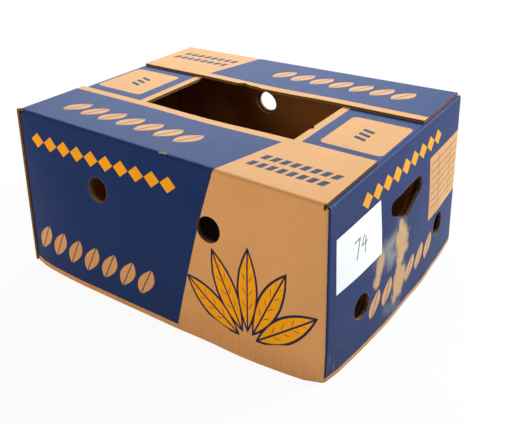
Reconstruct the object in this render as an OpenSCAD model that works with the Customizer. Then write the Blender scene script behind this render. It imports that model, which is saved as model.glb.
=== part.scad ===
// Telescopic banana carton of corrugated board: a printed lid slipped over a plain base.
// X runs along the front, Y from front to rear, Z up. The origin is on the floor, under the middle.

/* [Carton] */
// Outer length of the lid at its top folds
carton_length = 510; // [440:1:600]
// Outer width of the lid at its top folds
carton_width = 398; // [340:1:470]
// Height from the floor to the top of the closed lid
carton_height = 246; // [215:1:320]
// Height of the lid's lower edge above the floor
lid_floor_gap = 3; // [1:0.5:12]

/* [Board] */
// Thickness of the lid's board
lid_board = 4; // [3:0.5:6]
// Thickness of the base's board
base_board = 4; // [3:0.5:6]
// Inside radius of every fold
fold_inner_radius = 1.5; // [0.5:0.25:3]
// Room left between the lid's inner glue tab and the base
tab_clearance = 1; // [0.5:0.25:3]

/* [Flaps] */
// Depth of the lid's four flaps, from fold to free edge
lid_flap_depth = 127; // [80:1:150]
// Depth of the base's four flaps, from fold to free edge
base_flap_depth = 122; // [80:1:140]
// How far the ends of a long flap stay behind the outer face of the end wall
flap_end_slack = 5; // [4:0.5:10]
// Gap between the sides of an end flap and the long walls
flap_side_gap = 2; // [1:0.5:5]
// Width of the slot between neighbouring flaps, along the long wall
slot_width = 7; // [5:0.5:12]
// How far the slot runs down past the end fold
slot_drop = 3; // [1:0.5:8]

/* [Bulge] */
// Outward bow of the lid's end walls at their free lower edge
end_bow = 13; // [1:0.5:20]
// Outward bow of the lid's long walls at their free lower edge
side_bow = 13; // [1:0.5:20]

/* [Side joint] */
// Width of the glue tabs behind the side joints
tab_width = 38; // [20:1:50]
// Width of the groove beside the raw edge of the lid's side joint
seam_width = 0.8; // [0.4:0.1:1.5]

/* [Vents] */
// Diameter of the lid's round vents
lid_vent_diameter = 35; // [20:1:45]
// How much wider the base's vents and hand holes are, all round
base_hole_margin = 3; // [1:0.5:6]
// Distance of the front vents from the middle
front_vent_x = 94; // [60:1:150]
// Distance of the rear vents from the middle
rear_vent_x = 88; // [60:1:150]
// Height of the vents in the long walls
long_vent_z = 167; // [60:1:170]
// Distance of the end vents from the middle
end_vent_y = 121; // [90:1:125]
// Height of the vents in the end walls
end_vent_z = 71; // [50:1:85]

/* [Hand holes] */
// Width of a hand hole along its straight upper edge
hand_width = 97; // [80:1:110]
// Depth of a hand hole from its upper edge to its lowest point
hand_depth = 42; // [34:1:50]
// Depth of a hand hole's short upright sides
hand_side = 16; // [12:1:20]
// Radius of a hand hole's corners
hand_corner = 9; // [4:0.5:11]
// Height of a hand hole's upper edge
hand_top_z = 180; // [150:1:182]

/* [Worn edges] */
// Length of the torn stretch on the rear flap's free edge
tear_length = 48; // [20:1:80]
// Depth of that torn stretch
tear_depth = 6; // [2:0.5:12]
// Distance of that torn stretch from the middle
tear_x = -38; // [-60:1:60]
// Width of the nick in the right end flap's free edge
nick_width = 12; // [4:1:24]
// Depth of that nick
nick_depth = 4; // [1:0.5:8]
// Distance of that nick from the middle
nick_y = -18; // [-40:1:40]

/* [Paper label] */
// Width of the label
label_width = 106; // [60:1:120]
// Height of the label
label_height = 75; // [40:1:90]
// Thickness of the label
label_paper = 0.3; // [0.2:0.1:0.6]
// Distance of the label's front edge from the front corner
label_margin = 18.5; // [8:0.5:30]
// Height of the label's middle
label_z = 158; // [120:1:165]
// Tilt of the label
label_tilt = 1.5; // [0:0.5:4]

/* [Hidden] */

kraft = [0.76, 0.56, 0.37];
print_blue = [0.24, 0.31, 0.55];
paper_white = [0.96, 0.96, 0.95];

// How far every cut runs past the board, and the thickness of a lofted slice
overrun = 1;
loft_slice = 0.05;
corner_steps = 6;
side_steps = 12;
round_fn = 64;

// Height share of each lofted level of the lid's walls, with its share of the full bow
bow_shares = [[0, 1], [0.7, 0.68], [1, 0]];
// Outline of the torn edge, as shares of its length and depth
tear_shares = [[-0.5, 0], [-0.28, 0.45], [-0.05, 0.3], [0.22, 1], [0.34, 0.35], [0.5, 0]];

// The tab lies in the gap between lid and base
telescope_gap = lid_board + tab_clearance;
base_length = carton_length - 2 * (lid_board + telescope_gap);
base_width = carton_width - 2 * (lid_board + telescope_gap);
// The lid's end flaps rest on the base's upper rim
base_height = carton_height - 2 * lid_board;
// Height at which the fold of the lid's end flaps begins to turn
fold_start = base_height - fold_inner_radius;
label_y = label_margin + (label_width - carton_width) / 2;

// Counter-clockwise outline of a rounded rectangle whose sides bow outward
function bowed_outline(l, w, r, bow_x, bow_y) = [
    for (side = [0:3])
        let (
            across = side % 2 == 0 ? l : w,
            along = side % 2 == 0 ? w : l,
            bow = side % 2 == 0 ? bow_x : bow_y,
            straight = concat(
                [for (i = [0:side_steps])
                    let (s = 2 * i / side_steps - 1)
                    [across / 2 + bow * (1 - s * s), s * (along / 2 - r)]],
                [for (i = [1:corner_steps - 1])
                    let (a = 90 * i / corner_steps)
                    [across / 2 - r + r * cos(a), along / 2 - r + r * sin(a)]]))
        for (q = straight)
            [q.x * cos(90 * side) - q.y * sin(90 * side), q.x * sin(90 * side) + q.y * cos(90 * side)]];

// Direction of the outward normal of the edge from a to b, in degrees
function edge_normal(a, b) = atan2(a.x - b.x, b.y - a.y);

// Convex counter-clockwise outline whose corners are arcs of radius r round the given centres
function rounded_outline(centres, r) = [
    for (i = [0:len(centres) - 1])
        let (
            before = centres[(i + len(centres) - 1) % len(centres)],
            here = centres[i],
            after = centres[(i + 1) % len(centres)],
            start = edge_normal(before, here),
            turn = (edge_normal(here, after) - start + 360) % 360)
        for (k = [0:corner_steps])
            here + r * [cos(start + turn * k / corner_steps), sin(start + turn * k / corner_steps)]];

// One level of the lid's walls at the height z, set in from their outer face, with its share of the bow
module lid_slice(inset, z, thick, share) {
    translate([0, 0, z])
        linear_extrude(thick)
            polygon(bowed_outline(
                carton_length - 2 * inset,
                carton_width - 2 * inset,
                fold_inner_radius + max(0, lid_board - inset),
                end_bow * share,
                side_bow * share));
}

// Solid within the lid's walls, bulged up to the folds and straight above, open cuts running past both rims
module lid_form(inset, past) {
    low = lid_floor_gap - past;
    bulge_rise = fold_start - loft_slice - low;
    hull()
        for (level = bow_shares)
            lid_slice(inset, low + level[0] * bulge_rise, loft_slice, level[1]);
    lid_slice(inset, fold_start - loft_slice, carton_height + past - fold_start + loft_slice, 0);
}

// Straight upright solid with rounded corners
module base_form(inset, low, high) {
    translate([0, 0, low])
        linear_extrude(high - low)
            polygon(bowed_outline(
                base_length - 2 * inset,
                base_width - 2 * inset,
                fold_inner_radius + max(0, base_board - inset),
                0,
                0));
}

// Bar that rounds off an outer fold: the fold lies on the X axis, the board below and behind it
module fold_rounding(length, board) {
    r = fold_inner_radius + board;
    arc = [for (i = [0:corner_steps]) let (a = 90 * i / corner_steps) [r - r * cos(a), r * sin(a) - r]];
    translate([-length / 2, 0, 0])
        rotate([90, 0, 90])
            linear_extrude(length)
                polygon(concat([[-overrun, overrun], [-overrun, -r]], arc, [[r, overrun]]));
}

// The four flaps that close one half of a carton at the height top: end flaps under long flaps
module flaps(length, width, top, board, depth) {
    long_flap = length - 2 * flap_end_slack;
    end_flap = width - 2 * (board + flap_side_gap);
    for (turn = [0, 180])
        rotate(turn) {
            translate([-long_flap / 2, -width / 2, top - board])
                cube([long_flap, depth, board]);
            translate([length / 2 - depth, -end_flap / 2, top - 2 * board])
                cube([depth, end_flap, board]);
        }
}

// Everything that folding and slotting takes off one half of a carton at the height top
module fold_cuts(length, width, top, board) {
    for (turn = [0, 180])
        rotate(turn) {
            translate([length / 2 - flap_end_slack, -width / 2 - overrun, top - board])
                cube([flap_end_slack + overrun, width + 2 * overrun, board + overrun]);
            for (flip = [0, 1])
                mirror([0, flip, 0])
                    translate([length / 2 - slot_width, -width / 2 - overrun, top - board - slot_drop])
                        cube([slot_width - board, board + overrun, board + slot_drop + overrun]);
            translate([0, -width / 2, top])
                fold_rounding(length + 2 * overrun, board);
            translate([length / 2, 0, top - board])
                rotate(90)
                    fold_rounding(width + 2 * overrun, board);
        }
}

// Cutters for the vents and hand holes in all four walls, grown by a margin
module wall_holes(margin) {
    vent = lid_vent_diameter + 2 * margin;
    for (x = [-front_vent_x, front_vent_x])
        translate([x, 0, long_vent_z])
            rotate([90, 0, 0])
                cylinder(d = vent, h = carton_width, $fn = round_fn);
    for (x = [-rear_vent_x, rear_vent_x])
        translate([x, 0, long_vent_z])
            rotate([-90, 0, 0])
                cylinder(d = vent, h = carton_width, $fn = round_fn);
    for (turn = [0, 180])
        rotate(turn) {
            for (y = [-end_vent_y, end_vent_y])
                translate([0, y, end_vent_z])
                    rotate([0, 90, 0])
                        cylinder(d = vent, h = carton_length, $fn = round_fn);
            translate([0, 0, hand_top_z])
                rotate([90, 0, 90])
                    linear_extrude(carton_length)
                        hand_hole(margin);
        }
}

// Hand hole: a straight upper edge, short sides and a blunt point below
module hand_hole(margin) {
    half = hand_width / 2 - hand_corner;
    polygon(rounded_outline(
        [
            [half, -hand_side],
            [half, -hand_corner],
            [-half, -hand_corner],
            [-half, -hand_side],
            [0, hand_corner - hand_depth]],
        hand_corner + margin));
}

// Glue tab of the lid: a second layer of board inside the left wall, next to the front
module lid_tab() {
    tab_top = carton_height - 2 * lid_board;
    intersection() {
        difference() {
            lid_form(lid_board, 0);
            lid_form(2 * lid_board, overrun);
        }
        translate([-carton_length, lid_board - carton_width / 2, lid_floor_gap])
            cube([carton_length, tab_width, tab_top - lid_floor_gap]);
    }
}

// Raw front edge of the lid's left wall, flush with the front
module lid_joint_edge() {
    translate([-carton_length / 2, -carton_width / 2, lid_floor_gap])
        cube([lid_board, lid_board, carton_height - 2 * lid_board - lid_floor_gap]);
}

// Groove between that raw edge and the fold of the front wall
module lid_seam() {
    translate([lid_board - carton_length / 2, -carton_width / 2 - overrun, lid_floor_gap - overrun])
        cube([seam_width, lid_board / 2 + overrun, carton_height]);
}

// Torn stretch of the rear flap's free edge and the nick in the right end flap's free edge
module lid_wear() {
    translate([tear_x, carton_width / 2 - lid_flap_depth, carton_height - lid_board - overrun])
        linear_extrude(lid_board + 2 * overrun)
            polygon(concat(
                [for (q = tear_shares) [q[0] * tear_length, q[1] * tear_depth]],
                [[tear_length / 2, -overrun], [-tear_length / 2, -overrun]]));
    translate([carton_length / 2 - lid_flap_depth, nick_y, carton_height - 2 * lid_board - overrun])
        linear_extrude(lid_board + 2 * overrun)
            polygon([[-overrun, -nick_width / 2], [nick_depth, 0], [-overrun, nick_width / 2]]);
}

module lid() {
    color(print_blue)
        difference() {
            union() {
                difference() {
                    lid_form(0, 0);
                    lid_form(lid_board, overrun);
                }
                flaps(carton_length, carton_width, carton_height, lid_board, lid_flap_depth);
                lid_tab();
                lid_joint_edge();
            }
            fold_cuts(carton_length, carton_width, carton_height, lid_board);
            wall_holes(0);
            lid_seam();
            lid_wear();
        }
}

// The base is the same kind of half, turned over so that its flaps make the bottom
module base() {
    color(kraft)
        difference() {
            union() {
                difference() {
                    base_form(0, 0, base_height);
                    base_form(base_board, -overrun, base_height + overrun);
                }
                mirror([0, 0, 1])
                    flaps(base_length, base_width, 0, base_board, base_flap_depth);
                translate([base_board - base_length / 2, base_width / 2 - base_board - tab_width, 2 * base_board])
                    cube([base_board, tab_width, base_height - 2 * base_board]);
            }
            mirror([0, 0, 1])
                fold_cuts(base_length, base_width, 0, base_board);
            wall_holes(base_hole_margin);
        }
}

// The label follows the bulge of the right end wall
module paper_label() {
    color(paper_white)
        intersection() {
            difference() {
                lid_form(-label_paper, 0);
                lid_form(0, 0);
            }
            translate([0, label_y, label_z])
                rotate([label_tilt, 0, 0])
                    translate([0, -label_width / 2, -label_height / 2])
                        cube([carton_length, label_width, label_height]);
        }
}

base();
lid();
paper_label();
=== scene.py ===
"""A used banana carton: a printed lid of corrugated board slipped over a plain base, with a paper label.

Each half is drawn as the flat blank that it is cut from, given the thickness of the board, and then
folded. The print, the flutes and the wear are laid out on the same flat blank.
"""

import math
from collections import namedtuple
from functools import partialmethod, reduce

import bmesh
import bpy
from bpy.props import FloatProperty, FloatVectorProperty, PointerProperty
from mathutils import Matrix, Vector


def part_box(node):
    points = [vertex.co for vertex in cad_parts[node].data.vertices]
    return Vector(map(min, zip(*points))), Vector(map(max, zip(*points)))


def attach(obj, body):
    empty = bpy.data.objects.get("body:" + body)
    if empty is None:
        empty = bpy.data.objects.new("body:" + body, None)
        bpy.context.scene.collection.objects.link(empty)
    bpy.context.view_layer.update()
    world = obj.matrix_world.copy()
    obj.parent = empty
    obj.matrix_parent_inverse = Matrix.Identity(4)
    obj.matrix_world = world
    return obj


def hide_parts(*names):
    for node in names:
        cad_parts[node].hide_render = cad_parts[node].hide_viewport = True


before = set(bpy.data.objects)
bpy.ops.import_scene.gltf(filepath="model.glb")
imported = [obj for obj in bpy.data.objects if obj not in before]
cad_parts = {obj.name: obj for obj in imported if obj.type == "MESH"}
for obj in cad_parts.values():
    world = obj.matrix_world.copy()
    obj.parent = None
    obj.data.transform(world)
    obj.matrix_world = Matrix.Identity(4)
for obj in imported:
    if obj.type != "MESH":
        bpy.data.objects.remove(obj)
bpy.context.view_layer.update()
LID_LOW, LID_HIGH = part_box("lid")
BASE_LOW, BASE_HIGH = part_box("base")

bl_info = {
    "name": "Banana Carton",
    "version": (1, 0, 0),
    "blender": (4, 5, 0),
    "location": "View3D > Sidebar > Carton",
    "description": "Folds the lid and the base of a banana carton from flat blanks of corrugated board",
    "category": "Add Mesh",
}

MM = 0.001
FOLD_STEPS = 6
GRID_STEP = 22 * MM
VENT_SEGMENTS = 48
HAND_SEGMENTS = 6
SHARP_ANGLE = math.radians(35)


def size(name, description, millimetres):
    """A length, given in millimetres and kept in metres."""
    return FloatProperty(name=name, description=description, default=millimetres * MM, unit="LENGTH")


def colour(name, description, rgb):
    """A colour, given as linear red, green and blue."""
    return FloatVectorProperty(name=name, description=description, default=rgb, subtype="COLOR", min=0, max=1)


class CartonSizes(bpy.types.PropertyGroup):
    """Sizes of the board, the flaps, the cut-outs and the label."""

    lid_room: size("Lid room", "Room between the base and the lid at their folds", 5)
    end_bow: size("End bow", "Bow of the lid's end walls at their lower edge", 10)
    side_bow: size("Side bow", "Bow of the lid's long walls at their lower edge", 13)
    base_end_bow: size("Base end bow", "Bow of the base's end walls at half their height", 9)
    base_side_bow: size("Base side bow", "Bow of the base's long walls at half their height", 13)
    board: size("Board", "Thickness of the corrugated board", 4)
    fold_radius: size("Fold radius", "Inside radius of every fold", 1.5)
    lid_flap: size("Lid flap", "Depth of the lid's flaps from fold to free edge", 127)
    base_flap: size("Base flap", "Depth of the base's flaps from fold to free edge", 122)
    flap_end_slack: size("Flap slack", "How far a long flap ends behind the end wall", 5)
    flap_side_gap: size("Flap gap", "Gap between an end flap and the long walls", 2)
    slot_width: size("Slot", "Reach of the slot between two flaps along the long wall", 7)
    slot_drop: size("Slot drop", "How far the slot runs down past the end fold", 3)
    tab: size("Glue tab", "Width of the glue tab behind the side joint", 38)
    vent: size("Vent", "Diameter of the lid's round vents", 35)
    base_margin: size("Base margin", "How much wider the base's cut-outs are all round", 3)
    front_vent: size("Front vents", "Distance of the front vents from the middle", 94)
    rear_vent: size("Rear vents", "Distance of the rear vents from the middle", 88)
    long_vent_z: size("Long vent height", "Height of the vents in the long walls", 167)
    end_vent: size("End vents", "Distance of the end vents from the middle", 121)
    end_vent_z: size("End vent height", "Height of the vents in the end walls", 71)
    hand_width: size("Hand hole width", "Width of a hand hole along its upper edge", 97)
    hand_depth: size("Hand hole depth", "Depth of a hand hole to its lowest point", 42)
    hand_side: size("Hand hole side", "Depth of a hand hole's upright sides", 19)
    hand_corner: size("Hand hole corner", "Length taken off each corner of a hand hole", 8)
    hand_top: size("Hand hole top", "Height of a hand hole's upper edge", 180)
    flap_sag: size("Flap sag", "Sag of the lid's long flaps between the end flaps", 2)
    ripple: size("Ripple", "Depth of the shallow dents in the walls", 0.9)
    twist: size("Twist", "How far the carton's upper corners rise and sink", 4.5)
    blunt: size("Blunt corner", "How far the lid's lower front right corner is pushed in, each way", 4.2)
    droop: size("Droop", "How far the lid's front wall hangs down at its lower edge", 2.2)
    label_width: size("Label width", "Width of the paper label", 106)
    label_height: size("Label height", "Height of the paper label", 75)
    label_paper: size("Label paper", "Thickness of the paper label", 0.3)
    label_y: size("Label place", "Distance of the label's middle from the wall's middle", -127.5)
    label_z: size("Label rise", "Height of the label's middle", 158)
    label_tilt: FloatProperty(
        name="Label tilt", description="Tilt of the label", default=math.radians(1.5), unit="ROTATION"
    )


class CartonColours(bpy.types.PropertyGroup):
    """Colours of the board, the inks and the paper."""

    kraft: colour("Kraft", "Outer liner of the lid", (0.60, 0.315, 0.130))
    # Kraft of the inner liner, darkened as painted shade for the carton's shadowed inside
    inside_kraft_and_shade: colour("Kraft inside", "Inner liner of both halves", (0.31, 0.125, 0.038))
    # Kraft of the base's outer liner, darkened as painted shade where it shows through the lid's holes
    base_kraft_and_shade: colour("Kraft base", "Outer liner of the base", (0.42, 0.215, 0.085))
    # Kraft of the lid's cut edges, darkened as painted shade for the edges inside the vents and hand holes
    lid_edge_and_shade: colour("Raw edge", "Liners seen on a cut edge of the lid", (0.30, 0.155, 0.062))
    # Kraft of the base's cut edges, darkened further as painted shade where they show in the lid's holes
    base_edge_and_shade: colour("Base edge", "Liners seen on a cut edge of the base", (0.11, 0.052, 0.020))
    # The hollows are empty, so their dark colour is painted shade
    flute_hollow_shade: colour("Flute", "Hollows between the wavy paper and the liners", (0.075, 0.036, 0.014))
    scuff: colour("Scuff", "Torn paper under the ink", (0.54, 0.335, 0.168))
    # Also used for the faint painted sheen over the whole right wall
    haze: colour("Haze", "Ink rubbed pale", (0.39, 0.387, 0.338))
    blue: colour("Blue ink", "Large blue fields", (0.009, 0.026, 0.114))
    navy: colour("Dark ink", "Dark outlines and small marks", (0.010, 0.016, 0.055))
    yellow: colour("Yellow ink", "Yellow shapes", (0.80, 0.34, 0.008))
    paper: colour("Paper", "Paper of the label", (0.86, 0.86, 0.86))
    pen: colour("Pen", "Pen strokes on the label", (0.06, 0.06, 0.075))


# Folding


class Wall(namedtuple("Wall", "centre half middle along normal top flap_half bow evenness")):
    """One wall of a half: its place on the blank and on the floor plan, and its bow."""

    def at(self, along, out, z):
        """The point so far along the wall and out from it, at a height."""
        plan = (m + a * along + n * out for m, a, n in zip(self.middle, self.along, self.normal))
        return Vector((*plan, z))


class FoldedHalf:
    """One half of the carton: the outline of its flat blank, and the rule that folds the blank.

    On the blank u runs round the outside of the walls from the middle of the front, v runs up the
    walls and on over the flaps, and d runs from the outer face into the board.
    """

    # How late the bow fades up a wall, and how evenly it runs along it
    BOW_POWER = 3.2
    LONG_EVENNESS, END_EVENNESS = 5, 2
    # Waves of the dents: half their length round and up the walls in metres, and their start
    DENTS = ((0.061, 0.113, 0.4), (0.094, -0.071, 2.1), (-0.047, 0.083, 4.4))
    # Least width of a cut in the blank, how near counts as on a flap, and the glue tab's cut corner
    HAIR = MM / 2
    TOUCH = MM / 10
    TAB_CUT = 8 * MM
    # 1 if the half stands as it is folded, -1 if it is turned over, and the growth of its cut-outs
    way = 1
    margin = 0.0

    def __init__(self, sizes, length, width, top, rim, flap, end_bow, side_bow):
        self.sizes = sizes
        self.length, self.width, self.top, self.rim = length, width, top, rim
        self.board = sizes.board
        self.radius = sizes.fold_radius + sizes.board
        self.arc = math.pi / 2 * self.radius
        self.flap = flap
        self.sag = 0.0
        half_x, half_y = length / 2 - self.radius, width / 2 - self.radius
        step = half_x + self.arc + half_y
        long_flap = length / 2 - sizes.flap_end_slack
        end_flap = width / 2 - sizes.board - sizes.flap_side_gap
        low = top - sizes.board
        long_wall = (top, long_flap, side_bow, self.LONG_EVENNESS)
        end_wall = (low, end_flap, end_bow, self.END_EVENNESS)
        self.front = Wall(0.0, half_x, (0, -width / 2), (1, 0), (0, -1), *long_wall)
        self.right = Wall(step, half_y, (length / 2, 0), (0, 1), (1, 0), *end_wall)
        self.rear = Wall(2 * step, half_x, (0, width / 2), (-1, 0), (0, 1), *long_wall)
        self.left = Wall(3 * step, half_y, (-length / 2, 0), (0, -1), (-1, 0), *end_wall)
        self.walls = (self.front, self.right, self.rear, self.left)
        self.period = 2 * step
        self.fold_start = low - self.radius
        self.joint_end = self.left.centre + width / 2
        self.tab_fold = -(length / 2 - sizes.board - self.radius)
        self.tab_end = self.tab_fold - self.arc - (sizes.board + sizes.tab - self.radius)

    def free_edge(self, wall):
        """Height on the blank of the free edge of a wall's flap."""
        return wall.top - self.radius + self.arc + self.flap - self.radius

    def share_of_bow(self, v):
        """Share of the full bow at a height: all of it at the rim, none from the folds up."""
        rise = min(max((v - self.rim) / (self.fold_start - self.rim), 0.0), 1.0)
        return 1 - rise ** self.BOW_POWER

    def place(self, u, v, d):
        """Where a point of the blank comes to lie when the half is folded."""
        for wall in self.walls:
            along = u - wall.centre
            if v > wall.top - self.radius and abs(along) <= wall.flap_half + self.TOUCH:
                return self.on_flap(wall, along, v, d)
        if u < self.tab_fold:
            return self.on_tab(self.tab_fold - u, v, d)
        for wall in self.walls:
            along = u - wall.centre
            if along <= wall.half or wall is self.left:
                middle = max(0.0, 1 - abs(along / wall.half) ** wall.evenness) * self.share_of_bow(v)
                out = wall.bow * middle + self.dents(u, v) * min(1.0, 2 * middle) - d
                return wall.at(along, out, v)
            if along < wall.half + self.arc:
                turn = (along - wall.half) / self.radius
                ahead = wall.half + (self.radius - d) * math.sin(turn)
                out = (self.radius - d) * math.cos(turn) - self.radius
                return wall.at(ahead, out, v)
        raise ValueError(f"the blank has no place at {u:.4f}, {v:.4f}")

    def dents(self, u, v):
        """Shallow dents of a used carton: a few crossing waves of unlike length."""
        total = 0
        for across, up, start in self.DENTS:
            total += math.sin(2 * math.pi * (u / 2 / across + v / 2 / up) + start)
        return self.sizes.ripple * total / len(self.DENTS)

    def on_flap(self, wall, along, v, d):
        """A point of a flap or of the fold that carries it."""
        past = v - (wall.top - self.radius)
        turn = min(past / self.radius, math.pi / 2)
        inward = self.radius - (self.radius - d) * math.cos(turn)
        z = wall.top - self.radius + (self.radius - d) * math.sin(turn)
        inward += max(0.0, past - self.arc)
        if self.sag and wall in (self.front, self.rear):
            span = self.length / 2 - self.flap
            if abs(along) < span:
                z -= self.sag * math.cos(math.pi / 2 * along / span) ** 2 * (inward / self.flap) ** 2
        return wall.at(along, -inward, z)

    def on_tab(self, past, v, d):
        """A point of the glue tab behind the left wall, or of the fold that carries it."""
        turn = min(past / self.radius, math.pi / 2)
        reach = self.radius - d
        x = self.tab_fold - reach * math.sin(turn)
        y = -self.width / 2 + self.radius - reach * math.cos(turn) + max(0.0, past - self.arc)
        bow = self.left.bow * max(0.0, 1 - (y / self.left.half) ** 2) * self.share_of_bow(v)
        return Vector((x - bow * turn / (math.pi / 2), y, v))

    def outline(self):
        """Corners of the flat blank, anticlockwise from the foot of the glue tab."""
        sizes, hair = self.sizes, self.HAIR
        slot_foot = self.top - sizes.board - sizes.slot_drop
        notch_top = self.top + 2 * hair
        post_top = self.top - sizes.board - hair
        post_low = self.fold_start + hair
        tab_top = self.top - 2 * sizes.board
        top = [(self.tab_end, tab_top - self.TAB_CUT), (self.tab_end + self.TAB_CUT, tab_top)]
        for wall in self.walls:
            start, stop = wall.centre - wall.flap_half, wall.centre + wall.flap_half
            edge = self.free_edge(wall)
            free = [(start, edge), *self.worn_edge(wall, edge), (stop, edge)]
            if wall in (self.front, self.rear):
                reach = self.length / 2 - sizes.slot_width
                post = self.length / 2 - sizes.board
                near = wall.centre - reach
                if wall is self.front:
                    near = self.tab_fold + 2 * hair
                    top += [(self.tab_fold - self.arc, tab_top), (near - 4 * hair, slot_foot)]
                else:
                    top += [(wall.centre - post, post_top), (wall.centre - post, slot_foot)]
                top += [(near, slot_foot), (near, notch_top), (start, notch_top), *free]
                top += [(stop, notch_top), (wall.centre + reach, notch_top)]
                top += [(wall.centre + reach, slot_foot), (wall.centre + post, slot_foot)]
                top += [(wall.centre + post, post_top)]
            else:
                top += [(start - hair, post_low), (start, post_low), *free]
                top += [(stop, post_low), (stop + hair, post_low)]
        joint_post = self.left.centre + self.left.flap_half + 2 * hair
        joint_top = self.top - hair
        top += [(joint_post, post_low), (joint_post, joint_top), (self.joint_end, joint_top)]
        return [(self.tab_end, self.rim), (self.joint_end, self.rim)] + top[::-1]

    def worn_edge(self, wall, edge):
        """Corners of the torn stretches on a flap's free edge."""
        return []

    def height(self, z):
        """Height on the blank of a height on the standing carton."""
        return z

    def vent_pairs(self):
        """Wall, distance from its middle, and height on the blank of each pair of round vents."""
        sizes = self.sizes
        front, rear = (self.front, self.rear)[:: self.way]
        yield front, sizes.front_vent, self.height(sizes.long_vent_z)
        yield rear, sizes.rear_vent, self.height(sizes.long_vent_z)
        for wall in (self.right, self.left):
            yield wall, sizes.end_vent, self.height(sizes.end_vent_z)

    def vents(self):
        """Middle and radius of every round vent on the blank."""
        for side in (-1, 1):
            for wall, offset, height in self.vent_pairs():
                yield wall.centre + side * offset, height, self.sizes.vent / 2 + self.margin

    def hand_holes(self):
        """Corners of every hand hole on the blank."""
        sizes, way, margin = self.sizes, self.way, self.margin
        half = sizes.hand_width / 2 + margin
        side = sizes.hand_side + margin
        low = sizes.hand_depth + margin
        corners = ((-half, margin), (-half, -side), (0, -low), (half, -side), (half, margin))
        for wall in (self.right, self.left):
            yield [(wall.centre + way * x, self.height(sizes.hand_top) + way * z) for x, z in corners]


def twisted(sizes, point):
    """The carton leans out of square: two opposite upper corners rise and the other two sink."""
    share = max(0.0, point.z / LID_HIGH.z) ** 1.5
    across = point.x * point.y / (LID_HIGH.x * LID_HIGH.y)
    return Vector((point.x, point.y, point.z + sizes.twist * across * share))


class Lid(FoldedHalf):
    """The printed outer half, with its flaps on top."""

    # Corners of the rear flap's tear and of the right flap's nick in millimetres: along the free edge
    # from its middle, and in from it
    TEAR = ((14, 0), (24.56, 2.7), (35.6, 1.8), (48.56, 6), (54.32, 2.1), (62, 0))
    NICK = ((-24, 0), (-18, 4), (-12, 0))
    BLUNT_REACH = 36 * MM
    BLUNT_HEIGHT = 70 * MM

    def __init__(self, sizes):
        round_base = 2 * (sizes.board + sizes.lid_room)
        length = BASE_HIGH.x - BASE_LOW.x + round_base
        width = BASE_HIGH.y - BASE_LOW.y + round_base
        bows = sizes.end_bow, sizes.side_bow
        super().__init__(sizes, length, width, LID_HIGH.z, LID_LOW.z, sizes.lid_flap, *bows)
        self.sag = sizes.flap_sag

    def worn_edge(self, wall, edge):
        stretch = self.TEAR if wall is self.rear else self.NICK if wall is self.right else ()
        return [(wall.centre + along * MM, edge - deep * MM) for along, deep in stretch]

    def settle(self, point):
        """Blunts a corner, lets the front edge droop, and twists the carton."""
        near_x = max(0.0, 1 - abs(self.length / 2 - point.x) / self.BLUNT_REACH)
        near_y = max(0.0, 1 - abs(self.width / 2 + point.y) / self.BLUNT_REACH)
        low = max(0.0, 1 - (point.z - self.rim) / self.BLUNT_HEIGHT)
        push = self.sizes.blunt * (near_x * near_y * low) ** 2
        drop = self.sizes.droop * (near_y * low) ** 2
        return twisted(self.sizes, point + Vector((-push, push, -drop)))


class Base(FoldedHalf):
    """The plain inner half: folded like the lid, then turned over so that its flaps are the bottom."""

    BULGE_POWER = 0.8
    way = -1

    def __init__(self, sizes):
        length, width = BASE_HIGH.x - BASE_LOW.x, BASE_HIGH.y - BASE_LOW.y
        bows = sizes.base_end_bow, sizes.base_side_bow
        super().__init__(sizes, length, width, BASE_HIGH.z, 0.0, sizes.base_flap, *bows)
        self.margin = sizes.base_margin

    def share_of_bow(self, v):
        """Share of the full bow at a height: most of it between the rim and the folds."""
        rise = min(max(v / self.fold_start, 0.0), 1.0)
        return math.sin(math.pi * rise) ** self.BULGE_POWER

    def height(self, z):
        return self.top - z

    def settle(self, point):
        """Turns the base over and twists the carton."""
        return twisted(self.sizes, Vector((point.x, -point.y, self.height(point.z))))


def ring_of_edges(bm, corners):
    """A closed ring of edges through flat corners."""
    verts = [bm.verts.new((x, y, 0)) for x, y in corners]
    return [bm.edges.new((a, b)) for a, b in zip(verts, verts[1:] + verts[:1])]


def flat_blank(half):
    """The flat sheet of one half with its cut-outs, cut up finely enough to be folded."""
    bm = bmesh.new()
    for corners in half.hand_holes():
        face = bmesh.ops.contextual_create(bm, geom=ring_of_edges(bm, corners))["faces"][0]
        corner = {"offset": half.sizes.hand_corner, "segments": HAND_SEGMENTS, "profile": 0.5}
        bmesh.ops.bevel(bm, geom=list(face.verts), affect="VERTICES", material=-1, **corner)
    bmesh.ops.delete(bm, geom=bm.faces[:], context="FACES_ONLY")
    for u, v, radius in half.vents():
        at = Matrix.Translation((u, v, 0))
        bmesh.ops.create_circle(bm, cap_ends=False, radius=radius, segments=VENT_SEGMENTS, matrix=at)
    ring_of_edges(bm, half.outline())
    bmesh.ops.triangle_fill(bm, edges=bm.edges[:], use_beauty=True)
    if not bm.faces:
        raise RuntimeError("the blank could not be filled")
    for u in lines_round(half):
        cut(bm, (u, 0, 0), (1, 0, 0))
    for v in lines_up(half):
        cut(bm, (0, v, 0), (0, 1, 0))
    return bm


def cut(bm, at, normal):
    """Cuts every face of the blank along one straight line."""
    geom = bm.verts[:] + bm.edges[:] + bm.faces[:]
    bmesh.ops.bisect_plane(bm, geom=geom, dist=MM / 1000, plane_co=at, plane_no=normal)


def spread(low, high, step):
    """Evenly spaced values between two limits, about a step apart."""
    count = max(1, round((high - low) / step))
    return [low + (high - low) * i / count for i in range(count + 1)]


def lines_round(half):
    """Places round the walls where the blank is cut for bending."""
    lines = spread(half.tab_fold - half.arc, half.tab_fold, half.arc / FOLD_STEPS)
    for wall in half.walls:
        start, stop = wall.centre - wall.half, wall.centre + wall.half
        lines += spread(start, stop, GRID_STEP)
        lines += spread(stop, stop + half.arc, half.arc / FOLD_STEPS)
    return sorted(set(lines))


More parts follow.
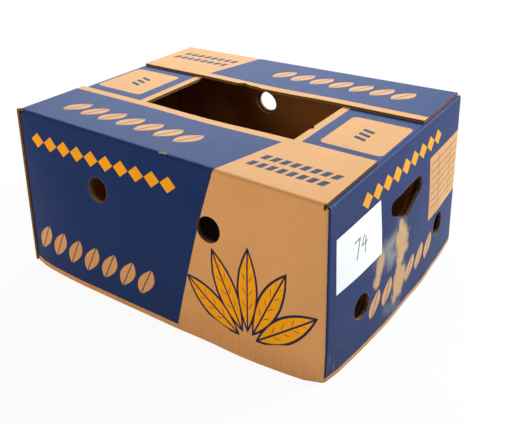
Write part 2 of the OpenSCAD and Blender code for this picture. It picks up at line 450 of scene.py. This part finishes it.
def lines_up(half):
    """Heights where the blank is cut for bending."""
    lines = spread(half.rim, half.fold_start, GRID_STEP)
    for wall in (half.front, half.right):
        start = wall.top - half.radius
        lines += spread(start, start + half.arc, half.arc / FOLD_STEPS)
    lines += spread(half.front.top + half.radius, half.free_edge(half.front), GRID_STEP)
    return sorted(set(lines))


OUTER, INNER, CUT_EDGE = range(3)


def thicken(bm, rise):
    """Gives a flat sheet a thickness, up or down."""
    made = bmesh.ops.extrude_face_region(bm, geom=bm.faces[:], use_keep_orig=True)
    moved = [item for item in made["geom"] if isinstance(item, bmesh.types.BMVert)]
    bmesh.ops.translate(bm, verts=moved, vec=(0, 0, rise))
    bmesh.ops.recalc_face_normals(bm, faces=bm.faces[:])


def lay_out_map(bm):
    """Lays out the map of a sheet that is still flat, and shades it smooth."""
    blank_map = bm.loops.layers.uv.new("blank")
    for face in bm.faces:
        face.smooth = True
        for loop in face.loops:
            loop[blank_map].uv = loop.vert.co.xy


def folded_board(half):
    """Cuts the blank of a half, gives it the thickness of the board, lays out its map, and folds it."""
    bm = flat_blank(half)
    thicken(bm, -half.board)
    if any(not edge.is_manifold for edge in bm.edges):
        raise RuntimeError("the board is not closed")
    lay_out_map(bm)
    depth = bm.verts.layers.float.new("depth")
    for vert in bm.verts:
        vert[depth] = -vert.co.z / half.board
    for face in bm.faces:
        depths = [vert[depth] for vert in face.verts]
        face.material_index = OUTER if max(depths) < 0.5 else INNER if min(depths) > 0.5 else CUT_EDGE
    for vert in bm.verts:
        vert.co = half.settle(half.place(vert.co.x, vert.co.y, -vert.co.z))
    return bm


def mesh_of(bm, name):
    """Turns a bmesh into a named mesh."""
    mesh = bpy.data.meshes.new(name)
    bm.to_mesh(mesh)
    bm.free()
    return mesh


def added(name, data):
    """A new object in the scene."""
    thing = bpy.data.objects.new(name, data)
    bpy.context.scene.collection.objects.link(thing)
    return thing


def finished_piece(bm, name, body, node, finishes):
    """Turns a mesh into a piece of the object that stands for its CAD node."""
    mesh = mesh_of(bm, name)
    mesh.set_sharp_from_angle(angle=SHARP_ANGLE)
    for finish in finishes:
        mesh.materials.append(finish)
    piece = added(name, mesh)
    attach(piece, body)
    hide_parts(node)


# Finishes

# Width of the soft edge of the print, in millimetres
PRINT_SOFT = 0.5


class Value:
    """A shader socket that takes part in Python arithmetic; every operation adds a Math node."""

    def __init__(self, finish, socket):
        self.finish, self.socket = finish, socket

    def math(self, operation, *others, clamp=False):
        inputs = dict(enumerate((self, *others)))
        node = self.finish.node("Math", inputs, operation=operation, use_clamp=clamp)
        return Value(self.finish, node.outputs[0])

    __add__ = __radd__ = partialmethod(math, "ADD")
    __sub__ = partialmethod(math, "SUBTRACT")
    __mul__ = __rmul__ = partialmethod(math, "MULTIPLY")
    __truediv__ = partialmethod(math, "DIVIDE")
    __abs__ = partialmethod(math, "ABSOLUTE")
    either = partialmethod(math, "MAXIMUM")
    least = partialmethod(math, "MINIMUM")

    def __rsub__(self, other):
        return (self * -1).math("ADD", other)

    def wrap(self, low, high):
        return self.math("WRAP", high, low)

    def past(self, edge, soft=PRINT_SOFT):
        """0 below an edge and 1 above it, with a soft step between."""
        return self.math("MULTIPLY_ADD", 1 / soft, 0.5 - edge / soft, clamp=True)

    def before(self, edge, soft=PRINT_SOFT):
        """1 below an edge and 0 above it, with a soft step between."""
        return self.math("MULTIPLY_ADD", -1 / soft, 0.5 + edge / soft, clamp=True)

    def between(self, low, high, soft=PRINT_SOFT):
        return self.past(low, soft) * self.before(high, soft)


class Finish:
    """A material or a world whose nodes are added by Python expressions."""

    def __init__(self, owner):
        owner.use_nodes = True
        self.owner = owner
        self.tree = owner.node_tree
        self.tree.nodes.clear()

    @classmethod
    def named(cls, name):
        """A new material's finish."""
        return cls(bpy.data.materials.new(name))

    def node(self, kind, inputs=None, **settings):
        """Adds a shader node, sets it up, and feeds its sockets."""
        node = self.tree.nodes.new("ShaderNode" + kind)
        for name, value in settings.items():
            setattr(node, name, value)
        for key, value in (inputs or {}).items():
            self.feed(node.inputs[key], value)
        return node

    def feed(self, socket, value):
        """Gives a socket a value or a link."""
        if isinstance(value, Value):
            value = value.socket
        if isinstance(value, bpy.types.NodeSocket):
            self.tree.links.new(value, socket)
        elif socket.type == "RGBA" and len(value) == 3:
            socket.default_value = (*value, 1)
        else:
            socket.default_value = value

    def split(self, coords):
        """The first two parts of a place."""
        parts = self.node("SeparateXYZ", {0: coords}).outputs
        return Value(self, parts[0]), Value(self, parts[1])

    def blank_map(self):
        """Place on the flat blank in millimetres: round the walls, and up them."""
        across, up = self.split(self.node("UVMap", uv_map="blank").outputs[0])
        return across / MM, up / MM

    def noise(self, at, grain):
        """Noise of about -1 to 1 over the blank."""
        across, up, detail, seed = grain
        place = self.node("CombineXYZ", {0: at[0] / across, 1: at[1] / up, 2: seed}).outputs[0]
        node = self.node("TexNoise", {"Vector": place, "Scale": 1.0, "Detail": detail})
        return Value(self, node.outputs[0]) * 3.2 - 1.6

    def mix(self, share, first, second):
        """Mixes two colours, which a Mix node takes at 6 and 7 and gives at 2."""
        return self.node("Mix", {0: share, 6: first, 7: second}, data_type="RGBA").outputs[2]

    def shade(self, tint, amount):
        """Makes a colour lighter or darker by a varying amount."""
        factor = amount + 1
        place = self.node("CombineXYZ", {0: factor, 1: factor, 2: factor})
        return self.node("VectorMath", {0: tint, 1: place.outputs[0]}, operation="MULTIPLY").outputs[0]

    def seen_directly(self):
        """1 for what the camera sees, also in a mirror or through glass, and 0 for light on its way."""
        path = self.node("LightPath")
        seen = Value(self, path.outputs["Is Camera Ray"])
        for kind in ("Is Glossy Ray", "Is Transmission Ray"):
            seen = seen.either(Value(self, path.outputs[kind]))
        return seen

    def surface(self, tint, height, roughness, bump):
        """The shader itself, with a bump. Board and paper shine only at a flat angle, as a low IOR does."""
        relief = {"Strength": bump, "Distance": BUMP_DISTANCE, "Height": height}
        normal = self.node("Bump", relief).outputs[0]
        inputs = {"Base Color": tint, "Roughness": roughness, "IOR": PAPER_IOR, "Normal": normal}
        shader = self.node("BsdfPrincipled", inputs)
        self.node("OutputMaterial", {"Surface": shader.outputs[0]})
        return self.owner


BUMP_DISTANCE = 0.6 * MM
PAPER_IOR = 1.155
FLUTE_PITCH = 7.4
# Shares of the board: swing and half thickness of its wavy paper, and from its middle to its liners
FLUTE_SWING, FLUTE_HALF, LINER_START = 0.32, 0.11, 0.36

# The grain of each noise: size across and up in millimetres, detail, and seed
FIBRES = (0.7, 5, 3, 0)
SPECKS = (1.6, 1.6, 2, 7)
BLOTCHES = (55, 70, 2, 3)
FLECKS = (2.4, 3.2, 1, 13)
CUT_RAGS = (2.5, 2.5, 2, 0)
INK_WOBBLE = (9, 9, 2, 11)
INK_DENSITY = (30, 45, 3, 41)
INK_SPECKS = (3.6, 4.4, 1, 33)
TORN_FIBRES = (2.2, 12, 5, 21)
TORN_RAGS = (9, 18, 4, 23)
SCRATCHES = (1.5, 55, 2, 5)
SCRATCH_PATCHES = (9, 26, 2, 6)
FOLD_PATCHES = (46, 46, 2, 61)
FOLD_RAGS = (7, 7, 4, 51)
NICK_RAGS = (5, 3, 3, 91)
RIM_RAGS = (5, 5, 3, 71)
LOW_DARKENING = (2.6, 34, 3, 81)
PAPER_GRAIN = (1.2, 1.2, 3, 0)
PAPER_WAVES = (25, 18, 2, 9)


def flute_wave(at):
    """The wave of the flutes round the walls."""
    return (at[0] * (2 * math.pi / FLUTE_PITCH)).math("SINE")


def kraft_tint(finish, at, tint):
    """Brown liner: long fibres, blotches and the faint stripes of the flutes under it."""
    fibres, specks, blotches = (finish.noise(at, grain) for grain in (FIBRES, SPECKS, BLOTCHES))
    flecks = finish.noise(at, FLECKS).past(1.1, 0.15)
    amount = fibres * 0.04 + specks * 0.03 + blotches * 0.045 + flute_wave(at) * 0.006 - flecks * 0.18
    return finish.shade(tint, amount), fibres


def plain_board(name, tint):
    """Unprinted liner of the board."""
    finish = Finish.named(name)
    at = finish.blank_map()
    tinted, fibres = kraft_tint(finish, at, tint)
    height = flute_wave(at) * 0.2 + fibres * 0.3
    return finish.surface(tinted, height, roughness=0.86, bump=0.2)


def cut_board(name, tint, hollow_shade):
    """Raw edge of the board: two liners with the wavy paper between them, and painted shade in the hollows.
    """
    finish = Finish.named(name)
    at = finish.blank_map()
    depth = Value(finish, finish.node("Attribute", attribute_name="depth").outputs["Fac"])
    ragged = finish.noise(at, CUT_RAGS)
    wave = flute_wave(at) * FLUTE_SWING + 0.5
    paper = abs(depth - wave + ragged * 0.04).before(FLUTE_HALF, 0.08)
    liners = abs(depth - 0.5).past(LINER_START, 0.06)
    solid = paper.either(liners).either(ragged.past(0.9, 0.5))
    brown = finish.shade(tint, ragged * 0.2)
    return finish.surface(finish.mix(solid, hollow_shade, brown), solid, roughness=0.9, bump=0.6)


# The print, laid out on the flat blank in millimetres. A long wall with its flap and the end wall
# beside it are one design, which comes twice round the lid.

LEAF_RIB = 0.9


def distance(dx, dz):
    """Length of a step with two parts."""
    return (dx * dx + dz * dz).math("SQRT")


def beyond(offset, reach):
    """How far an offset goes beyond a reach, to either side."""
    return (abs(offset) - reach).either(0.0)


def row_of_shapes(at, row):
    """A row of slanted shapes: lozenges, bars, or leaves with a rib left out."""
    kind, start, pitch, count, middle, half_height, half_width, slant = row
    rise = at[1] - middle
    along = rise / half_height
    sheared = at[0] - rise * slant - start
    across = abs(sheared.wrap(-pitch / 2, pitch / 2))
    if kind == "lozenge":
        width = (1 - abs(along)) * half_width
    elif kind == "leaf":
        width = (1 - along * along) * half_width
    else:
        width = abs(along).before(1, 0.02) * half_width
    inside = (width - across).past(0)
    in_row = sheared.between(-pitch / 2, (count - 0.5) * pitch)
    shapes = inside * in_row * abs(along).before(1, 0.04)
    if kind == "leaf":
        shapes = shapes * (1 - across.before(LEAF_RIB))
    return shapes


def rounded_field(at, field):
    """A rectangle with rounded corners."""
    left, right, low, high, radius = field
    dx = beyond(at[0] - (left + right) / 2, (right - left) / 2 - radius)
    dz = beyond(at[1] - (low + high) / 2, (high - low) / 2 - radius)
    return distance(dx, dz).before(radius)


def nearest_stroke(at, strokes):
    """Distance to the nearest of some straight strokes, as a share of each stroke's half width."""
    reaches = []
    for ax, az, bx, bz, half_width in strokes:
        run_x, run_z = bx - ax, bz - az
        dx, dz = at[0] - ax, at[1] - az
        share = ((dx * run_x + dz * run_z) / (run_x**2 + run_z**2)).math("ADD", 0.0, clamp=True)
        reaches.append(distance(dx - share * run_x, dz - share * run_z) / half_width)
    return reduce(Value.least, reaches)


def ring_of_holes(half, at):
    """Distance out from the rim of the nearest round vent, in millimetres."""
    reaches = []
    for wall, offset, height in half.vent_pairs():
        dx = abs(at[0] - wall.centre / MM) - offset / MM
        reaches.append(distance(dx, at[1] - height / MM) - half.sizes.vent / 2 / MM)
    return reduce(Value.least, reaches)


class LeafFan:
    """A fan of yellow leaves with dark outlines, ribs and veins."""

    ROOT_X, ROOT_Z = 152.0, 26.0
    STRETCH = 1.28
    LEAVES, SPACING = 5, math.radians(30)
    MIDDLE, HALF_LENGTH, HALF_WIDTH = 60.0, 47.0, 15.2
    OUTLINE, RIB = 3.0, 1.1
    VEIN_SLANT, VEIN_PITCH, VEIN_HALF = 1.4, 15.0, 0.7
    # Where the veins lie: out from the rib, and along the leaf as a share of its half length
    VEINED_ACROSS, VEINED_ALONG = (2.5, 7.0), (-0.55, 0.6)

    def __init__(self, at):
        dx = at[0] - self.ROOT_X
        dz = (at[1] - self.ROOT_Z) / self.STRETCH
        bearing = dz.math("ARCTAN2", dx)
        reach = distance(dx, dz)
        half_fan = self.LEAVES * self.SPACING / 2
        fan = bearing.between(math.pi / 2 - half_fan, math.pi / 2 + half_fan, 0.02)
        turn = (bearing - (math.pi / 2 - self.SPACING / 2)).wrap(0.0, self.SPACING) - self.SPACING / 2
        along = reach * turn.math("COSINE")
        across = abs(reach * turn.math("SINE"))
        share = (along - self.MIDDLE) / self.HALF_LENGTH
        margin = (1 - share * share) * self.HALF_WIDTH - across
        self.leaf = margin.past(0) * fan
        edge = margin.before(self.OUTLINE, 2 * PRINT_SOFT)
        rib = across.before(self.RIB)
        off_vein = abs((along - across * self.VEIN_SLANT).wrap(0.0, self.VEIN_PITCH) - self.VEIN_PITCH / 2)
        veins = off_vein.before(self.VEIN_HALF) * across.between(*self.VEINED_ACROSS, 2.0)
        veins = veins * share.between(*self.VEINED_ALONG, 0.1)
        self.dark = edge.either(rib).either(veins) * self.leaf


class LidPrint:
    """Masks of the inks on the lid."""

    # Bare kraft along the lower edge, and along the free edge of the flaps
    LONG_STRIP, END_STRIP = 10.5, 9.0
    LONG_BORDER, END_BORDER = 14.0, 12.0
    # The slanted end of the blue field on a long wall
    SLOPE, SLOPE_START = 0.239, 41.0
    # Rows: kind, start, pitch, count, middle, half height, half width and slant
    LOW_LEAVES = ("leaf", -216, 34, 7, 55, 22, 13, 0.5)
    FLAP_LEAVES = ("leaf", -188, 34, 7, 300, 20, 13, 0.5)
    END_LEAVES = ("leaf", -88, 34, 6, 55, 18, 13, 0.5)
    LONG_LOZENGES = ("lozenge", -214, 27, 10, 208, 11, 13, 0.0)
    END_LOZENGES = ("lozenge", -108, 27, 9, 211, 11, 13, 0.0)
    HIGH_BARS = ("bar", 132, 14, 8, 308, 6.5, 4.6, 0.3)
    LOW_BARS = ("bar", 126, 14, 8, 286, 6.5, 4.6, 0.3)
    END_MARKS = ("bar", -16, 13, 3, 296, 9, 3.6, 0.3)
    # Bare fields on an end wall and its flap, and the ruled table: left, right, low, high and radius
    PANEL = (-52, 47, 248, 337, 8)
    NOTES = (78, 230, 95, 190, 3)
    TABLE = (84, 191, 101, 184, 1)
    RULE_START, RULE_PITCH, RULE_HALF = 95.0, 11.0, 0.55
    COLUMN_MIDDLE, COLUMN_REACH = 138.0, 24.0
    # Smears where the ink is torn off the right wall, where it is rubbed to a pale haze, and where it
    # is only rubbed: start, end and half width
    TORN = (
        (-17, 136, -13, 112, 8),
        (-13, 116, -13, 100, 15),
        (-27, 122, -22, 108, 7),
        (-18, 92, -22, 64, 10),
        (-15, 54, -22, 42, 16),
        (-74, 113, -83, 86, 8.5),
    )
    HAZED = ((-66, 117, -40, 122, 12), (-54, 114, -46, 100, 13))
    RUBBED = ((-84, 119, -42, 124, 13), (-22, 142, -8, 134, 9), (-58, 30, -20, 12, 9))
    # Scratches beside the front corner: their strip, and the heights below and above which they are thick
    SCRATCHED = (-197.0, -168.0)
    THICK_BELOW, THICK_ABOVE = 58.0, 206.0

    def __init__(self, finish, half, at):
        self.finish = finish
        corner = (half.front.half + half.arc / 2) / MM
        wobble = finish.noise(at, INK_WOBBLE) * 0.25
        x = (at[0] + wobble).wrap(-corner, half.period / MM - corner)
        y = x - half.right.centre / MM
        up = at[1] + wobble
        long, end = (x, up), (y, up)
        on_end = x.past(corner)
        on_long = 1 - on_end
        long_edge = half.free_edge(half.front) / MM
        end_edge = half.free_edge(half.right) / MM
        slanted = (x - up * self.SLOPE).before(self.SLOPE_START - self.LONG_STRIP * self.SLOPE)
        long_blue = slanted * up.between(self.LONG_STRIP, long_edge - self.LONG_BORDER)
        leaves = row_of_shapes(long, self.LOW_LEAVES).either(row_of_shapes(long, self.FLAP_LEAVES))
        end_blue = up.between(self.END_STRIP, end_edge - self.END_BORDER)
        for field in (self.PANEL, self.NOTES):
            end_blue = end_blue * (1 - rounded_field(end, field))
        end_blue = end_blue * (1 - row_of_shapes(end, self.END_LEAVES))
        self.blue = on_long * (long_blue * (1 - leaves)) + on_end * end_blue
        fan = LeafFan(long)
        long_yellow = fan.leaf.either(row_of_shapes(long, self.LONG_LOZENGES))
        self.yellow = on_long * long_yellow + on_end * row_of_shapes(end, self.END_LOZENGES)
        bars = row_of_shapes(long, self.HIGH_BARS).either(row_of_shapes(long, self.LOW_BARS))
        off_rule = abs((up - self.RULE_START).wrap(0.0, self.RULE_PITCH) - self.RULE_PITCH / 2)
        off_column = abs(abs(y - self.COLUMN_MIDDLE) - self.COLUMN_REACH)
        table = off_rule.least(off_column).before(self.RULE_HALF) * rounded_field(end, self.TABLE)
        marks = row_of_shapes(end, self.END_MARKS)
        self.navy = on_long * fan.dark.either(bars) + on_end * marks.either(table)
        self.on_end = on_end
        # The right wall, which comes only once round the lid
        self.once = (at[0] - half.right.centre / MM, up)
        on_wall = abs(self.once[0]).before(half.right.half / MM, 2.0)
        self.on_right = on_wall * up.before(half.right.top / MM, 2.0)

    def paled(self):
        """Where the ink is torn off the right wall, and how much of it is rubbed or scratched pale, with a
        faint painted sheen over the whole right wall.
        """
        finish, at = self.finish, self.once
        y, up = at
        fibres, coarse = finish.noise(at, TORN_FIBRES), finish.noise(at, TORN_RAGS)

        def smears(strokes, soft, rough):
            """Nearness to the strokes, ragged along the fibres of the paper."""
            return (nearest_stroke(at, strokes) + (fibres * 0.7 + coarse) * rough).before(1.0, soft)

        torn = smears(self.TORN, 0.5, 0.6) * fibres.past(-0.75, 1.2)
        rim = smears(self.TORN, 1.5, 0.4)
        paled = smears(self.RUBBED, 1.6, 0.45) * fibres.past(-0.2, 2.4)
        hazed = smears(self.HAZED, 1.6, 0.5) * fibres.past(-0.5, 2.0)
        thick = up.before(self.THICK_BELOW, 30.0).either(up.past(self.THICK_ABOVE, 30.0) * 0.6).either(0.25)
        scratches = finish.noise(at, SCRATCHES).past(0.35, 0.7)
        scratches = scratches * finish.noise(at, SCRATCH_PATCHES).past(0.1, 1.0)
        streaks = y.between(*self.SCRATCHED, 6.0) * thick * scratches
        specks = finish.noise(at, INK_SPECKS).past(1.12, 0.12) * (self.on_right * 0.3 + 0.16)
        pale = (rim * 0.34).either(paled * 0.42).either(hazed * 0.75)
        # Over the whole right wall the ink is paled a little more: a painted sheen
        return torn, pale.either(streaks * 0.5).either(specks).either(self.on_right * 0.045)


def worn_folds(finish, half, at, on_end):
    """Where the ink is rubbed off the folds: in a few patches, and in a nick on the front one."""
    across, up = at
    long_crease = (half.front.top - half.radius + half.arc / 2) / MM
    end_crease = (half.right.top - half.radius + half.arc / 2) / MM
    crease = abs(up - (on_end * (end_crease - long_crease) + long_crease))
    corner = abs(abs(across - half.right.centre / MM) - (half.right.half + half.arc / 2) / MM)
    ragged = crease.least(corner) + finish.noise(at, FOLD_RAGS) * 2.4
    worn = ragged.before(0.6, 2.6) * finish.noise(at, FOLD_PATCHES).past(0.85, 0.5) * 0.6
    nick = (12.0, long_crease + 2.0, 22.0, long_crease + 3.0, 1.6)
    nicked = nearest_stroke(at, (nick,)) + finish.noise(at, NICK_RAGS) * 0.4
    return worn.either(nicked.before(0.8, 1.0) * 0.7)


def printed_board(name, half, colours):
    """Outer face of the lid: kraft liner printed in three inks, rubbed at folds and on one end, with a faint
    painted sheen over the right end, and darker in streaks towards the lower edge.
    """
    finish = Finish.named(name)
    at = finish.blank_map()
    tint, fibres = kraft_tint(finish, at, colours.kraft)
    inks = LidPrint(finish, half, at)
    density = finish.noise(at, INK_DENSITY) * 0.07 + flute_wave(at) * 0.014 + fibres * 0.06
    for mask, ink in ((inks.blue, colours.blue), (inks.yellow, colours.yellow), (inks.navy, colours.navy)):
        tint = finish.mix(mask, tint, finish.shade(ink, density))
    torn, paled = inks.paled()
    scuff = finish.shade(colours.scuff, fibres * 0.1)
    # The haze colour stands for ink worn pale and, on the right wall, for a painted sheen
    tint = finish.mix(paled, tint, colours.haze)
    tint = finish.mix(torn, tint, scuff)
    worn = worn_folds(finish, half, at, inks.on_end)
    rims = ring_of_holes(half, at) + finish.noise(at, RIM_RAGS) * 0.7
    tint = finish.mix(worn.either(rims.before(0.4, 0.8) * 0.3), tint, scuff)
    # Darker in streaks towards the lower edge
    low_darkening = finish.noise(at, LOW_DARKENING).past(0.1, 1.4) * at[1].before(24.0, 44.0)
    tint = finish.shade(tint, low_darkening * -0.24)
    inked = inks.blue.either(inks.yellow).either(inks.navy) * (1 - torn.either(worn))
    height = flute_wave(at) * 0.12 + fibres * 0.3 - torn * 0.8
    return finish.surface(tint, height, roughness=0.58 - inked * 0.08, bump=0.2)


# The number on the label, round the label's middle: start, end and half width of each stroke
PEN_STROKES = (
    (-13.0, 12.0, -1.0, 13.5, 0.9),
    (-1.0, 13.5, -9.0, -12.0, 1.0),
    (9.5, 13.0, 3.0, 0.5, 0.9),
    (3.0, 0.5, 16.0, 2.0, 0.9),
    (13.0, 9.0, 10.0, -11.5, 1.0),
)


def paper_finish(name, colours):
    """White paper with a number written by hand in pen."""
    finish = Finish.named(name)
    at = finish.blank_map()
    grain, waves = finish.noise(at, PAPER_GRAIN), finish.noise(at, PAPER_WAVES)
    ink = nearest_stroke(at, PEN_STROKES).before(1.0, 0.7)
    tint = finish.shade(colours.paper, grain * 0.02 + waves * 0.015)
    tint = finish.mix(ink, tint, colours.pen)
    return finish.surface(tint, waves + grain * 0.15, roughness=0.7, bump=0.12)


# Operators


class CARTON_OT_base(bpy.types.Operator):
    """Fold the plain inner half of the carton"""

    bl_idname = "carton.base"
    bl_label = "Fold Base"

    def execute(self, context):
        colours = context.scene.carton_colours
        bm = folded_board(Base(context.scene.carton_sizes))
        finishes = (
            plain_board("base_outer_liner", colours.base_kraft_and_shade),
            plain_board("base_inner_liner", colours.inside_kraft_and_shade),
            cut_board("base_cut_edge", colours.base_edge_and_shade, colours.flute_hollow_shade),
        )
        finished_piece(bm, "folded_base", "base", "base", finishes)
        return {"FINISHED"}


class CARTON_OT_lid(bpy.types.Operator):
    """Fold the printed outer half of the carton"""

    bl_idname = "carton.lid"
    bl_label = "Fold Lid"

    def execute(self, context):
        colours = context.scene.carton_colours
        half = Lid(context.scene.carton_sizes)
        bm = folded_board(half)
        finishes = (
            printed_board("lid_print", half, colours),
            plain_board("lid_inner_liner", colours.inside_kraft_and_shade),
            cut_board("lid_cut_edge", colours.lid_edge_and_shade, colours.flute_hollow_shade),
        )
        finished_piece(bm, "folded_lid", "lid", "lid", finishes)
        return {"FINISHED"}


class CARTON_OT_label(bpy.types.Operator):
    """Stick the paper label on the lid's right end"""

    bl_idname = "carton.label"
    bl_label = "Stick Label"

    CELLS = 10
    SEAT = 0.06 * MM

    def execute(self, context):
        sizes = context.scene.carton_sizes
        half = Lid(sizes)
        bm = bmesh.new()
        bmesh.ops.create_grid(bm, x_segments=self.CELLS, y_segments=self.CELLS, size=0.5)
        bmesh.ops.scale(bm, verts=bm.verts[:], vec=(sizes.label_width, sizes.label_height, 1))
        thicken(bm, sizes.label_paper)
        lay_out_map(bm)
        tilt = Matrix.Rotation(sizes.label_tilt, 4, "Z")
        bmesh.ops.transform(bm, matrix=tilt, verts=bm.verts[:])
        for vert in bm.verts:
            u, v = half.right.centre + sizes.label_y + vert.co.x, sizes.label_z + vert.co.y
            vert.co = half.settle(half.place(u, v, -vert.co.z - self.SEAT))
        finishes = (paper_finish("label_paper", context.scene.carton_colours),)
        finished_piece(bm, "stuck_label", "lid", "paper_label", finishes)
        return {"FINISHED"}


class CARTON_OT_stage(bpy.types.Operator):
    """Set up the white floor, the soft studio light and the camera of the photograph"""

    bl_idname = "carton.stage"
    bl_label = "Set Stage"

    WHITE = (1.0, 1.0, 1.0)
    FLOOR_HALF = 12.0
    FLOOR_TINT, FLOOR_UNDER = (0.74, 0.74, 0.74), (0.03, 0.025, 0.02)
    # Share of plain white in what is seen of the floor within the shadow's reach
    FLOOR_SHOW, SHADOW_REACH = 0.93, 0.8
    # The dark foot under the carton, a patch of painted shade: how far inside the walls it lies, and the
    # width of its soft edge
    FOOT_INSET, FOOT_SOFT = 0.045, 0.02
    SKY_STRENGTH = 0.20
    # Name, place, width and height, watts, tint, and whether the board mirrors it
    LAMPS = (
        ("key_softbox", (1.6, 2.0, 1.7), (1.2, 1.2), 132.0, (0.92, 0.97, 1.0), True),
        ("back_softbox", (-1.4, 1.85, 1.55), (2.8, 1.1), 77.0, (0.80, 0.93, 1.0), True),
        ("front_softbox", (-0.7, -2.0, 0.9), (1.4, 1.4), 30.0, (1.0, 0.82, 0.60), False),
    )
    # The photo's camera: turn to the right, tilt down and roll; the carton's foot to the right of its
    # axis, below it and along it; focal length and middle in pixels
    AZIMUTH, ELEVATION, ROLL = math.radians(35.88), math.radians(20.87), math.radians(1.36)
    ASIDE, BELOW, AHEAD = 10.77 * MM, 226.17 * MM, 1199.07 * MM
    FOCAL_PIXELS, CENTRE_X, CENTRE_Y = 766.06, 237.99, 105.37
    PHOTO_WIDTH, PHOTO_HEIGHT = 527, 424
    SENSOR_WIDTH = 36.0

    def execute(self, context):
        scene = context.scene
        self.floor()
        self.sky(scene)
        for lamp in self.LAMPS:
            self.lamp(*lamp)
        self.camera(scene)
        scene.view_settings.view_transform = "Standard"
        return {"FINISHED"}

    def floor(self):
        """A white floor that keeps the carton's shadow, and has painted shade under the carton."""
        bm = bmesh.new()
        bmesh.ops.create_grid(bm, x_segments=1, y_segments=1, size=self.FLOOR_HALF)
        finish = Finish.named("white_floor")
        x, y = finish.split(finish.node("TexCoord").outputs["Object"])
        foot_x, foot_y = BASE_HIGH.x - self.FOOT_INSET, BASE_HIGH.y - self.FOOT_INSET
        away = distance(beyond(x, foot_x), beyond(y, foot_y))
        clear = away.past(self.FOOT_SOFT / 2, self.FOOT_SOFT)
        far = away.past(self.SHADOW_REACH, self.SHADOW_REACH)
        # Inside the foot the floor is given a dark colour: painted shade under the carton
        tint = finish.mix(clear, self.FLOOR_UNDER, self.FLOOR_TINT)
        paint = finish.node("BsdfDiffuse", {"Color": tint})
        glow = finish.node("Emission", {"Color": self.WHITE, "Strength": 1.0})
        share = finish.seen_directly() * clear * (far * (1 - self.FLOOR_SHOW) + self.FLOOR_SHOW)
        mixed = finish.node("MixShader", {0: share, 1: paint.outputs[0], 2: glow.outputs[0]})
        finish.node("OutputMaterial", {"Surface": mixed.outputs[0]})
        floor = added("floor", mesh_of(bm, "floor"))
        floor.data.materials.append(finish.owner)

    def sky(self, scene):
        """Even soft light from all sides, seen as plain white."""
        finish = Finish(bpy.data.worlds.new("studio"))
        strength = finish.seen_directly() * (1 - self.SKY_STRENGTH) + self.SKY_STRENGTH
        background = finish.node("Background", {"Color": self.WHITE, "Strength": strength})
        finish.node("OutputWorld", {"Surface": background.outputs[0]})
        scene.world = finish.owner

    def lamp(self, name, place, extent, watts, tint, mirrored):
        """An oval softbox that faces the carton."""
        data = bpy.data.lights.new(name, "AREA")
        data.shape = "ELLIPSE"
        data.size, data.size_y = extent
        data.energy = watts
        data.color = tint
        lamp = added(name, data)
        lamp.location = place
        lamp.rotation_euler = (-Vector(place)).to_track_quat("-Z", "Y").to_euler()
        lamp.visible_glossy = mirrored

    def camera(self, scene):
        """The camera where the photographer's stood."""
        cos_e, sin_e = math.cos(self.ELEVATION), math.sin(self.ELEVATION)
        ahead = Vector((-math.sin(self.AZIMUTH) * cos_e, math.cos(self.AZIMUTH) * cos_e, -sin_e))
        right = ahead.cross(Vector((0, 0, 1))).normalized()
        down = ahead.cross(right)
        cos_r, sin_r = math.cos(self.ROLL), math.sin(self.ROLL)
        right, down = cos_r * right + sin_r * down, cos_r * down - sin_r * right
        place = -(right * self.ASIDE + down * self.BELOW + ahead * self.AHEAD)
        data = bpy.data.cameras.new("photo_camera")
        data.sensor_width = self.SENSOR_WIDTH
        data.lens = self.FOCAL_PIXELS * self.SENSOR_WIDTH / self.PHOTO_WIDTH
        data.shift_x = (self.PHOTO_WIDTH / 2 - self.CENTRE_X) / self.PHOTO_WIDTH
        data.shift_y = (self.CENTRE_Y - self.PHOTO_HEIGHT / 2) / self.PHOTO_WIDTH
        scene.camera = added("photo_camera", data)
        turn = Matrix((right, -down, -ahead)).transposed().to_4x4()
        scene.camera.matrix_world = Matrix.Translation(place) @ turn


class CARTON_PT_panel(bpy.types.Panel):
    """Lists the carton's pieces and their sizes and colours"""

    bl_idname = "CARTON_PT_panel"
    bl_label = "Banana Carton"
    bl_space_type = "VIEW_3D"
    bl_region_type = "UI"
    bl_category = "Carton"

    def draw(self, context):
        layout = self.layout
        for operator in PIECES:
            layout.operator(operator.bl_idname)
        for group in (context.scene.carton_sizes, context.scene.carton_colours):
            box = layout.box()
            for name in group.__annotations__:
                box.prop(group, name)


PIECES = (CARTON_OT_base, CARTON_OT_lid, CARTON_OT_label, CARTON_OT_stage)
CLASSES = (CartonSizes, CartonColours, *PIECES, CARTON_PT_panel)


def register():
    for cls in CLASSES:
        bpy.utils.register_class(cls)
    bpy.types.Scene.carton_sizes = PointerProperty(type=CartonSizes)
    bpy.types.Scene.carton_colours = PointerProperty(type=CartonColours)


def unregister():
    del bpy.types.Scene.carton_colours
    del bpy.types.Scene.carton_sizes
    for cls in reversed(CLASSES):
        bpy.utils.unregister_class(cls)


def main():
    register()
    bpy.ops.carton.base()
    bpy.ops.carton.lid()
    bpy.ops.carton.label()
    bpy.ops.carton.stage()


if __name__ == "__main__":
    main()
